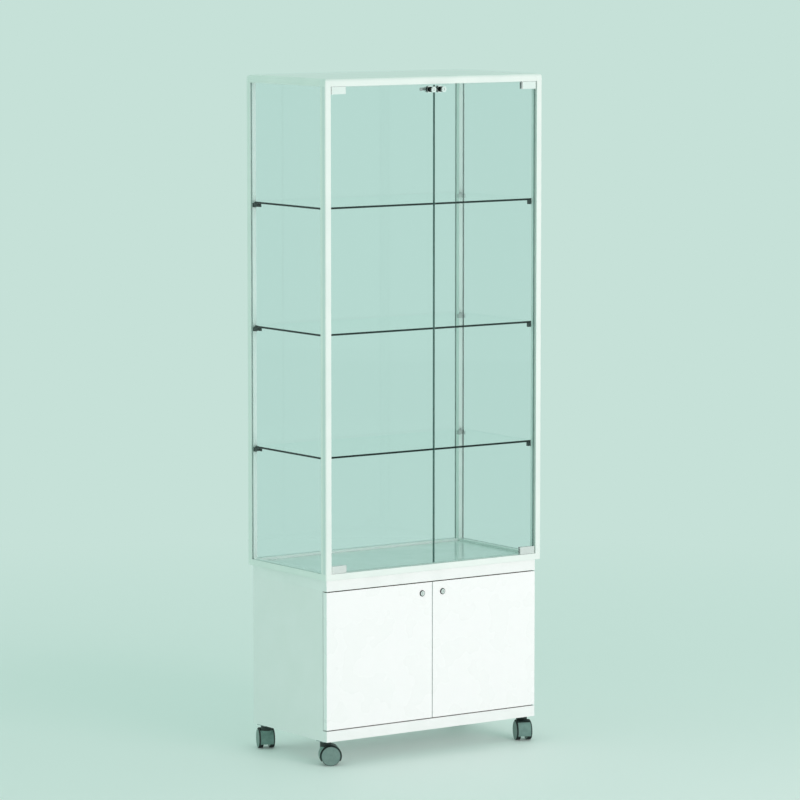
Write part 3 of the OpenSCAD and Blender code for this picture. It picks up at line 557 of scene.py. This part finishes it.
class CaseColours(bpy.types.PropertyGroup):
    """The two close tones of the case's main finishes, and the tints of its glass."""

    frame_darker: picked_colour("Frame, darker", "Darker tone of the powder coat", "#E7F1EC")
    frame_lighter: picked_colour("Frame, lighter", "Lighter tone of the powder coat", "#EEF6F1")
    board_darker: picked_colour("Boards, darker", "Darker tone of the melamine", "#F2F5F3")
    board_lighter: picked_colour("Boards, lighter", "Lighter tone of the melamine", "#F5F7F6")
    door_darker: picked_colour("Base doors, darker", "Darker tone of the lacquer", "#F8FAF9")
    door_lighter: picked_colour("Base doors, lighter", "Lighter tone of the lacquer", "#FAFBFB")
    # The floor panel's two tones hold painted shade: a white laminate drawn pale grey-green
    laminate_darker: picked_colour(
        "Case floor, darker", "Darker tone of the floor panel's laminate", "#D6E6E0")
    laminate_lighter: picked_colour(
        "Case floor, lighter", "Lighter tone of the floor panel's laminate", "#E0ECE8")
    pane_tint: picked_colour("Pane tint", "What each face of a pane lets through", "#F9FCFC")
    shelf_tint: picked_colour("Shelf tint", "What each face of a shelf lets through", "#FAFDFC")
    hood_darker: picked_colour("Hoods, darker", "Darker tone of the castors' hoods", "#67867F")
    hood_lighter: picked_colour("Hoods, lighter", "Lighter tone of the castors' hoods", "#75948C")
    disc_darker: picked_colour("Discs, darker", "Darker tone of the wheels' discs", "#6A857F")
    disc_lighter: picked_colour("Discs, lighter", "Lighter tone of the wheels' discs", "#78928B")


class StageSettings(bpy.types.PropertyGroup):
    """Camera, light and background."""

    azimuth: FloatProperty(
        name="Azimuth", description="Bearing of the camera, 0 from the front",
        default=VIEW_BEARING, subtype="ANGLE")
    elevation: FloatProperty(
        name="Elevation", description="Height of the camera as an angle",
        default=math.radians(6.316), subtype="ANGLE")
    distance: FloatProperty(
        name="Distance", description="From the camera to its target",
        default=13.437, unit="LENGTH")
    lens: FloatProperty(
        name="Lens", description="Focal length in millimetres",
        default=198.46, subtype="DISTANCE_CAMERA")
    target: FloatVectorProperty(
        name="Target", description="The point that the camera looks at",
        default=(-17.85 * MM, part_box("bottom_rail_front")[0].y + 160 * MM, 1072.3 * MM),
        subtype="TRANSLATION")
    backdrop: picked_colour(
        "Backdrop", "Colour of the backdrop and of the light that it gives", "#C6E1D8")
    floor: picked_colour("Floor", "Colour of the floor near the case", "#EEF7F4")
    dark_bearing: FloatProperty(
        name="Dark side's bearing",
        description="Where the studio's dark side lies, 0 from the front",
        default=VIEW_BEARING, subtype="ANGLE")
    dark_side: FloatProperty(
        name="Dark side", description="How much darker that side is in glossy metal",
        default=0.9, min=0, max=1, subtype="FACTOR")
    bright_bearing: FloatProperty(
        name="Bright side's bearing",
        description="Where the studio's bright side lies, 0 from the front",
        default=-VIEW_BEARING, subtype="ANGLE")
    bright_side: FloatProperty(
        name="Bright side", description="How much brighter that side is in glossy metal",
        default=0.4, min=0, max=2)
    key_power: FloatProperty(
        name="Key light", description="Power of the soft key light",
        default=150.0, subtype="POWER", unit="POWER")
    key_colour: FloatVectorProperty(
        name="Key light colour", description="Its tint evens out the green of the backdrop's light",
        default=(1.0, 0.66, 0.77), subtype="COLOR", min=0, max=1)
    key_size: FloatProperty(
        name="Key light size", description="Side of the soft key light",
        default=2.6, unit="LENGTH")
    key_place: FloatVectorProperty(
        name="Key light's place", description="Where the soft key light hangs",
        default=(0.7, -5.8, 1.4), subtype="TRANSLATION")
    key_aim: FloatVectorProperty(
        name="Key light's aim", description="The point that the soft key light faces",
        default=(0, 0, 1.05), subtype="TRANSLATION")


# ---- Pieces ----


class CASE_OT_materials(bpy.types.Operator):
    """Make every finish of the case"""

    bl_idname = "display_case.materials"
    bl_label = "Finishes"

    def execute(self, context):
        make_materials(context.scene.case_colours)
        return {"FINISHED"}


class CASE_OT_frame(bpy.types.Operator):
    """Build the aluminium profiles, their corner fittings and the strips in the front posts"""

    bl_idname = "display_case.frame"
    bl_label = "Frame profiles"

    def execute(self, context):
        edge = context.scene.case_sizes.profile_edge
        for corner in CORNERS:
            edged_node(f"post_{corner}", "profile", edge, "frame_white")
        for level in ("top", "bottom"):
            for side in ("front", "rear", "left", "right"):
                edged_node(f"{level}_rail_{side}", "profile", edge, "frame_white")
        edged_node("corner_fittings", "cast", edge, "frame_white")
        edged_node("post_cover_strips", "extruded", edge / 2, "strip_grey")
        return {"FINISHED"}


class CASE_OT_panels(bpy.types.Operator):
    """Build the top panel and the polished floor panel of the glass case"""

    bl_idname = "display_case.panels"
    bl_label = "Top and floor panels"

    def execute(self, context):
        edge = context.scene.case_sizes.board_edge / 2
        edged_node("top_panel", "board", edge, "board_white", edge="edging")
        edged_node("floor_panel", "board", edge, "floor_laminate", edge="edging")
        return {"FINISHED"}


class CASE_OT_glass(bpy.types.Operator):
    """Build the fixed panes, the shelves and the door panes, with polished edges"""

    bl_idname = "display_case.glass"
    bl_label = "Glass"

    def execute(self, context):
        arris = context.scene.case_sizes.glass_arris
        for node in ("side_glass_left", "side_glass_right", "back_glass"):
            edged_node(node, "pane", arris, "clear_glass", segments=1, flat=True)
        for side in SIDES:
            edged_node(f"glass_door_{side}", "pane", arris, "clear_glass", edge="glass_edge",
                       arris="glass_arris", segments=1, flat=True)
        for level in ("upper", "middle", "lower"):
            edged_node(f"shelf_{level}", "pane", arris, "shelf_glass", edge="shelf_edge_painted_shade",
                       arris="shelf_edge_painted_shade", segments=1, flat=True)
        return {"FINISHED"}


class CASE_OT_brackets(bpy.types.Operator):
    """Build the shelf brackets and their socket screws"""

    bl_idname = "display_case.brackets"
    bl_label = "Shelf brackets"

    def execute(self, context):
        edge = context.scene.case_sizes.metal_edge
        edged_node("shelf_brackets", "cast", edge, "bracket_black")
        head, socket, shank_radius = 3 * MM, 2 * MM, 1.75 * MM
        case_middle = sum(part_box("top_panel"), Vector()) / 2
        mesh = bmesh.new()
        for low, high in islands("bracket_screws"):
            middle, radius = (low + high) / 2, (high.x - low.x) / 2
            # The head looks into the case
            way = 1 if middle.y < case_middle.y else -1
            seat = (high.y if way > 0 else low.y) - way * head
            place = along((middle.x, seat, middle.z), (0, way, 0))
            add_screw_head(mesh, place, radius, head, min(radius * 0.4, socket),
                           (high.y - low.y) - head, shank_radius)
        bmesh.ops.recalc_face_normals(mesh, faces=mesh.faces)
        piece = finish_object(
            "bracket_screws_turned", mesh, ["bracket_screw"], "case", nodes=["bracket_screws"])
        piece.modifiers.new("shading", "WEIGHTED_NORMAL")
        return {"FINISHED"}


class CASE_OT_hinges(bpy.types.Operator):
    """Build the glass doors' clamps with their grub screws, and all pivot pins"""

    bl_idname = "display_case.hinges"
    bl_label = "Hinges"

    def execute(self, context):
        rounding = context.scene.case_sizes.clamp_round
        radius, height, socket, sunk = 2.6 * MM, 1.1 * MM, 1.25 * MM, 0.9 * MM
        paint_node("pivot_pins", "zinc_steel")
        for side in SIDES:
            node = f"hinge_clamps_{side}"
            edged_node(node, "cast", rounding, "clamp_chrome", segments=5)
            mesh = bmesh.new()
            for low, high in islands(node):
                middle = (low + high) / 2
                for offset in (-0.27, 0.27):
                    x = middle.x + offset * (high.x - low.x)
                    place = along((x, high.y - sunk, middle.z), (0, 1, 0))
                    add_screw_head(mesh, place, radius, height, socket)
            bmesh.ops.recalc_face_normals(mesh, faces=mesh.faces)
            finish_object(f"clamp_screws_{side}", mesh, ["zinc_steel"], f"{side}_glass_door")
        return {"FINISHED"}


class CASE_OT_locks(bpy.types.Operator):
    """Build the four cam locks: barrels with nuts, plugs with cams"""

    bl_idname = "display_case.locks"
    bl_label = "Locks"

    def execute(self, context):
        for door in ("glass", "base"):
            for side in SIDES:
                self.lock(door, side, context.scene.case_sizes)
        return {"FINISHED"}

    def lock(self, door, side, sizes):
        """One lock: its rings are bright, and its turned sides and its key slot dark with painted
        shade.
        """
        barrel, plug = f"{door}_lock_barrel_{side}", f"{door}_lock_plug_{side}"
        front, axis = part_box(barrel)[0].y, sum(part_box(barrel), Vector()) / 2
        # The glass doors' locks have a bright ring this deep, and the base doors' locks none
        ring = 6 * MM if door == "glass" else 0
        # The deepest that a barrel's sides, and a key slot, lie behind the barrel's front
        sides_end, slot_end = 23 * MM, 12 * MM
        # Within the first radius lies the key slot alone, and past the second the ring's rim
        slot_reach, rim_reach = 5 * MM, 9 * MM

        def reach(point):
            return math.hypot(point.x - axis.x, point.z - axis.z)

        # Painted shade and dark reflection: a barrel's turned sides, behind its bright ring
        def shaded_side(face):
            depth = face.calc_center_median().y - front
            return ring < depth < sides_end and abs(face.normal.y) < 0.5

        def rim(point):
            return abs(point.y - front) < 0.1 * MM and reach(point) > rim_reach

        # Painted shade in the key slot, a recess
        def shaded_key_slot(face):
            middle = face.calc_center_median()
            return reach(middle) < slot_reach and 0.4 * MM < middle.y - front < slot_end

        # On the base locks the rims' broken edges get the painted shade too
        edged_node(barrel, "turned", sizes.lock_round, "lock_chrome", edge="lock_painted_shade",
                   chosen=shaded_side, arris=None if door == "glass" else "lock_painted_shade",
                   segments=6, rim=rim)
        edged_node(plug, "turned", sizes.metal_edge / 2, "lock_steel", edge="lock_painted_shade",
                   chosen=shaded_key_slot)


class CASE_OT_base(bpy.types.Operator):
    """Build the base cabinet's boards, strike plates, dowels, screws and door buffers"""

    bl_idname = "display_case.base"
    bl_label = "Base cabinet"

    def execute(self, context):
        sizes = context.scene.case_sizes
        for node in ("base_top", "base_bottom", "base_side_left", "base_side_right", "base_back"):
            edged_node(node, "board", sizes.board_edge, "board_white", edge="edging")
        edged_node("strike_plates", "pressed", sizes.metal_edge, "zinc_steel")
        paint_node("dowels", "dowel_wood")
        paint_node("wood_screws", "zinc_steel")
        radius, rise = sizes.buffer_width / 2, 1.5 * MM
        profile = [(0, 0), (radius, 0), (radius * 0.96, rise * 0.4), (radius * 0.8, rise * 0.78),
                   (radius * 0.5, rise * 0.95), (0, rise)]
        door_gap, inset = 2 * MM, 30 * MM
        mesh = bmesh.new()
        for side in SIDES:
            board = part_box(f"base_side_{side}")
            x = (board[0].x + board[1].x) / 2
            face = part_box(f"base_door_{side}")[1].y + door_gap
            for z in (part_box("base_bottom")[1].z + inset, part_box("base_top")[0].z - inset):
                add_lathe(mesh, profile, along((x, face, z), (0, -1, 0)), 32)
        bmesh.ops.recalc_face_normals(mesh, faces=mesh.faces)
        finish_object("base_door_buffers", mesh, ["buffer_pvc"], "case")
        return {"FINISHED"}


class CASE_OT_base_doors(bpy.types.Operator):
    """Build the base cabinet's two lacquered doors, their raw top and bottom edges in painted shade
    """

    bl_idname = "display_case.base_doors"
    bl_label = "Base doors"

    def execute(self, context):
        # Painted shade on the doors' top and bottom edges, which face the gaps above and below them
        def gap_shaded(face):
            return abs(face.normal.z) > 0.9

        edge = context.scene.case_sizes.board_edge
        for side in SIDES:
            edged_node(f"base_door_{side}", "board", edge, "door_white", edge="door_edge_painted_shade",
                       chosen=gap_shaded, segments=3)
        return {"FINISHED"}


class CASE_OT_castors(bpy.types.Operator):
    """Build the four twin-wheel castors: hoods, plates, stems, discs and tyres"""

    bl_idname = "display_case.castors"
    bl_label = "Castors"

    def execute(self, context):
        sizes = context.scene.case_sizes
        edged_node("castor_plates", "pressed", sizes.metal_edge, "zinc_steel")
        edged_node("castor_stems", "turned", sizes.metal_edge, "zinc_steel")
        for corner in CORNERS:
            spin = joint(f"{corner}_wheel_spin")
            centre, axle = Vector(spin["pos_m"]), Vector(spin["axis"])
            self.hood(corner, centre, axle, sizes)
            paint_node(f"castor_axle_{corner}", "zinc_steel")
            self.wheels(corner, centre, axle, sizes.tyre_crown)
        return {"FINISHED"}

    def hood(self, corner, centre, axle, sizes):
        """One castor's hood, with a band of painted shade, nearly black, at both ends of the axle
        and over the wheels.
        """
        node = f"castor_hood_{corner}"
        corners = [vertex.co for vertex in frame["nodes"][node].data.vertices]
        half = max(abs((point - centre).dot(axle)) for point in corners) - sizes.hood_painted_shade
        top = Vector((0, 0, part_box(f"castor_wheels_{corner}")[1].z - sizes.hood_painted_shade))
        cuts = [(centre + axle * half, axle), (centre - axle * half, axle), (top, (0, 0, 1))]

        # Painted shade: the faces at both ends of the axle and over the wheels, where shade falls
        def painted_band(face):
            middle = face.calc_center_median()
            return abs((middle - centre).dot(axle)) > half or middle.z > top.z

        edged_node(node, "moulded", sizes.metal_edge, "castor_hood", edge="hood_painted_shade", chosen=painted_band,
                   segments=3, cuts=cuts)

    def wheels(self, corner, centre, axis, crown):
        """Both wheels of one castor: a nylon disc each, and a rubber tyre round it.

        Their profiles are (radius, distance from the castor's middle), as in the CAD wheels.
        """
        inner, outer, radius, bore = (v * MM for v in (10.5, 25, 30, 4.05))
        # The disc's flange inside, its cap outside, and the step between cap and tyre
        hub, web, cap, groove = (v * MM for v in (8, 21, 28.6, 0.5))
        seat = cap + groove
        disc = [(bore, inner), (hub, inner)]
        disc += [(hub + 0.6 * MM, inner + 2.6 * MM), (web, inner + 2.6 * MM)]
        disc += [(web + 0.8 * MM, inner + 0.2 * MM), (seat, inner + 0.2 * MM)]
        disc += [(seat, outer - 2 * MM), (cap, outer - 2 * MM), (cap, outer - 0.7 * MM)]
        disc += [(cap - 0.25 * MM, outer - 0.2 * MM), (cap - 0.9 * MM, outer)]
        disc += [(cap - 2.2 * MM, outer - 0.15 * MM), (16 * MM, outer - 0.45 * MM)]
        disc += [(0, outer - 0.6 * MM), (0, outer - 1.4 * MM), (bore, outer - 1.4 * MM)]
        # The tread is highest in its middle, and its edges are rounded
        rim = 0.45 * MM
        side = outer - 1 * MM
        tread = radius - crown - rim
        tyre = [(seat, inner)]
        for start, height in ((-90, inner + rim), (0, side - rim)):
            for angle in (0, 22.5, 45, 67.5, 90):
                a = math.radians(start + angle)
                tyre.append((tread + rim * math.cos(a), height + rim * math.sin(a)))
            if start < 0:
                tyre.append((radius, (inner + side) / 2))
        tyre.append((seat, side))
        for name, profile, material in (
                ("discs", disc, "castor_wheel"), ("tyres", tyre, "tyre_rubber")):
            mesh = bmesh.new()
            for way in (1, -1):
                add_lathe(mesh, profile, along(centre, axis * way), 96, closed=True)
            bmesh.ops.recalc_face_normals(mesh, faces=mesh.faces)
            piece = finish_object(
                f"castor_{name}_{corner}", mesh, [material], f"{corner}_wheels",
                [f"castor_wheels_{corner}"])
            piece.modifiers.new("shading", "WEIGHTED_NORMAL")


# ---- Stage ----


class CASE_OT_stage(bpy.types.Operator):
    """Set up the floor, the backdrop, the light and the camera"""

    bl_idname = "display_case.stage"
    bl_label = "Stage"

    def execute(self, context):
        settings = context.scene.case_stage
        self.backdrop(context.scene, settings)
        self.floor(context.scene, settings)
        self.lights(context.scene, settings)
        self.camera(context.scene, settings)
        context.scene.view_settings.view_transform = "Standard"
        return {"FINISHED"}

    def backdrop(self, scene, settings):
        """The world is the backdrop, and its soft light comes from all round.

        Glossy surfaces also show the studio's dark side and its bright side.
        """
        world = bpy.data.worlds.new("backdrop")
        world.use_nodes = True
        tree = world.node_tree
        tree.nodes.clear()
        towards = add(tree, "ShaderNodeTexCoord").outputs["Generated"]
        dark = self.zone(tree, towards, settings.dark_bearing, -settings.dark_side)
        bright = self.zone(tree, towards, settings.bright_bearing, settings.bright_side)
        both = add(tree, "ShaderNodeMath", {0: dark, 1: bright}, operation="ADD").outputs[0]
        gloss = add(tree, "ShaderNodeLightPath").outputs["Is Glossy Ray"]
        strength = add(tree, "ShaderNodeMath", {0: both, 1: gloss}, {2: 1.0},
                       operation="MULTIPLY_ADD").outputs[0]
        colour = (*settings.backdrop, 1)
        shade = add(tree, "ShaderNodeBackground", {"Strength": strength}, {"Color": colour})
        add(tree, "ShaderNodeOutputWorld", {"Surface": shade.outputs[0]})
        scene.world = world

    def zone(self, tree, towards, bearing, change):
        """How much one side of the studio adds to the light, by the direction looked in.

        The closeness is the cosine of the angle between that direction and the bearing.
        """
        compass = (math.sin(bearing), -math.cos(bearing), 0)
        closeness = add(tree, "ShaderNodeVectorMath", {0: towards}, {1: compass},
                        operation="DOT_PRODUCT").outputs["Value"]
        nothing_below, all_above = 0.6, 0.85
        values = {"From Min": nothing_below, "From Max": all_above, "To Max": change}
        return add(tree, "ShaderNodeMapRange", {"Value": closeness}, values).outputs["Result"]

    def floor(self, scene, settings):
        """A round floor that fades into the backdrop's colour away from the case."""
        radius, fade_start, fade_end = 12, 1.5, 4.5
        # The backdrop's share in the floor's colour where the case stands
        least = 0.1
        mesh = bmesh.new()
        bmesh.ops.create_circle(mesh, cap_ends=True, segments=128, radius=radius)
        data = bpy.data.meshes.new("floor")
        mesh.to_mesh(data)
        mesh.free()
        floor = bpy.data.objects.new("floor", data)
        scene.collection.objects.link(floor)
        floor.location.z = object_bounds()[0].z
        floor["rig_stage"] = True
        # Sheet vinyl, matt: pale, even, with a trace of mottle
        material, output = new_material("vinyl_floor_matt")
        tree = material.node_tree
        mottle = pattern(tree, 400, detail=2.0)
        values = {"Strength": 1.0, "Distance": 0.2 * MM}
        raised = add(tree, "ShaderNodeBump", {"Height": mottle}, values).outputs["Normal"]
        values = {
            "Base Color": (*settings.floor, 1), "Roughness": 0.55, "Specular IOR Level": 0.25}
        near = add(tree, "ShaderNodeBsdfPrincipled", {"Normal": raised}, values)
        values = {"Color": (*settings.backdrop, 1), "Strength": 1.0}
        far = add(tree, "ShaderNodeEmission", values=values)
        place = add(tree, "ShaderNodeTexCoord").outputs["Object"]
        away = add(tree, "ShaderNodeVectorMath", {0: place}, operation="LENGTH").outputs["Value"]
        values = {"From Min": fade_start, "From Max": fade_end, "To Min": least, "To Max": 1.0}
        share = add(tree, "ShaderNodeMapRange", {"Value": away}, values).outputs["Result"]
        links = {"Fac": share, 1: near.outputs[0], 2: far.outputs[0]}
        mixed = add(tree, "ShaderNodeMixShader", links)
        tree.links.new(mixed.outputs[0], output.inputs["Surface"])
        data.materials.append(material)

    def lights(self, scene, settings):
        """One large soft key light from the front, a little to the right. No gloss shows it."""
        light = bpy.data.lights.new("key", "AREA")
        light.shape = "SQUARE"
        light.size, light.energy = settings.key_size, settings.key_power
        light.color = settings.key_colour
        lamp = bpy.data.objects.new("key", light)
        scene.collection.objects.link(lamp)
        lamp.visible_glossy = False
        lamp.location = settings.key_place
        aim = Vector(settings.key_aim) - lamp.location
        lamp.rotation_euler = aim.to_track_quat("-Z", "Y").to_euler()

    def camera(self, scene, settings):
        """The camera stands where the reference view was taken."""
        data = bpy.data.cameras.new("camera")
        data.lens, data.sensor_width = settings.lens, 36
        data.clip_start, data.clip_end = 0.1, 400
        camera = bpy.data.objects.new("camera", data)
        scene.collection.objects.link(camera)
        target = Vector(settings.target)
        a, e = settings.azimuth, settings.elevation
        back = Vector((math.sin(a) * math.cos(e), -math.cos(a) * math.cos(e), math.sin(e)))
        camera.location = target + settings.distance * back
        camera.rotation_euler = (-back).to_track_quat("-Z", "Y").to_euler()
        scene.camera = camera


OPERATORS = (
    CASE_OT_materials, CASE_OT_frame, CASE_OT_panels, CASE_OT_glass, CASE_OT_brackets,
    CASE_OT_hinges, CASE_OT_locks, CASE_OT_base, CASE_OT_base_doors, CASE_OT_castors, CASE_OT_stage)


class CASE_PT_panel(bpy.types.Panel):
    """The steps that dress the case, in their order"""

    bl_label = "Display Case"
    bl_idname = "CASE_PT_panel"
    bl_space_type = "VIEW_3D"
    bl_region_type = "UI"
    bl_category = "Display Case"

    def draw(self, context):
        scene = context.scene
        for settings in (scene.case_sizes, scene.case_colours, scene.case_stage):
            box = self.layout.box()
            for name in settings.__annotations__:
                box.prop(settings, name)
        for operator in OPERATORS:
            self.layout.operator(operator.bl_idname)


CLASSES = (CaseSizes, CaseColours, StageSettings, *OPERATORS, CASE_PT_panel)


def register():
    for item in CLASSES:
        bpy.utils.register_class(item)
    bpy.types.Scene.case_sizes = PointerProperty(type=CaseSizes)
    bpy.types.Scene.case_colours = PointerProperty(type=CaseColours)
    bpy.types.Scene.case_stage = PointerProperty(type=StageSettings)


def unregister():
    del bpy.types.Scene.case_stage
    del bpy.types.Scene.case_colours
    del bpy.types.Scene.case_sizes
    for item in reversed(CLASSES):
        bpy.utils.unregister_class(item)


def main():
    register()
    for operator in OPERATORS:
        group, name = operator.bl_idname.split(".")
        getattr(getattr(bpy.ops, group), name)()


if __name__ == "__main__":
    main()
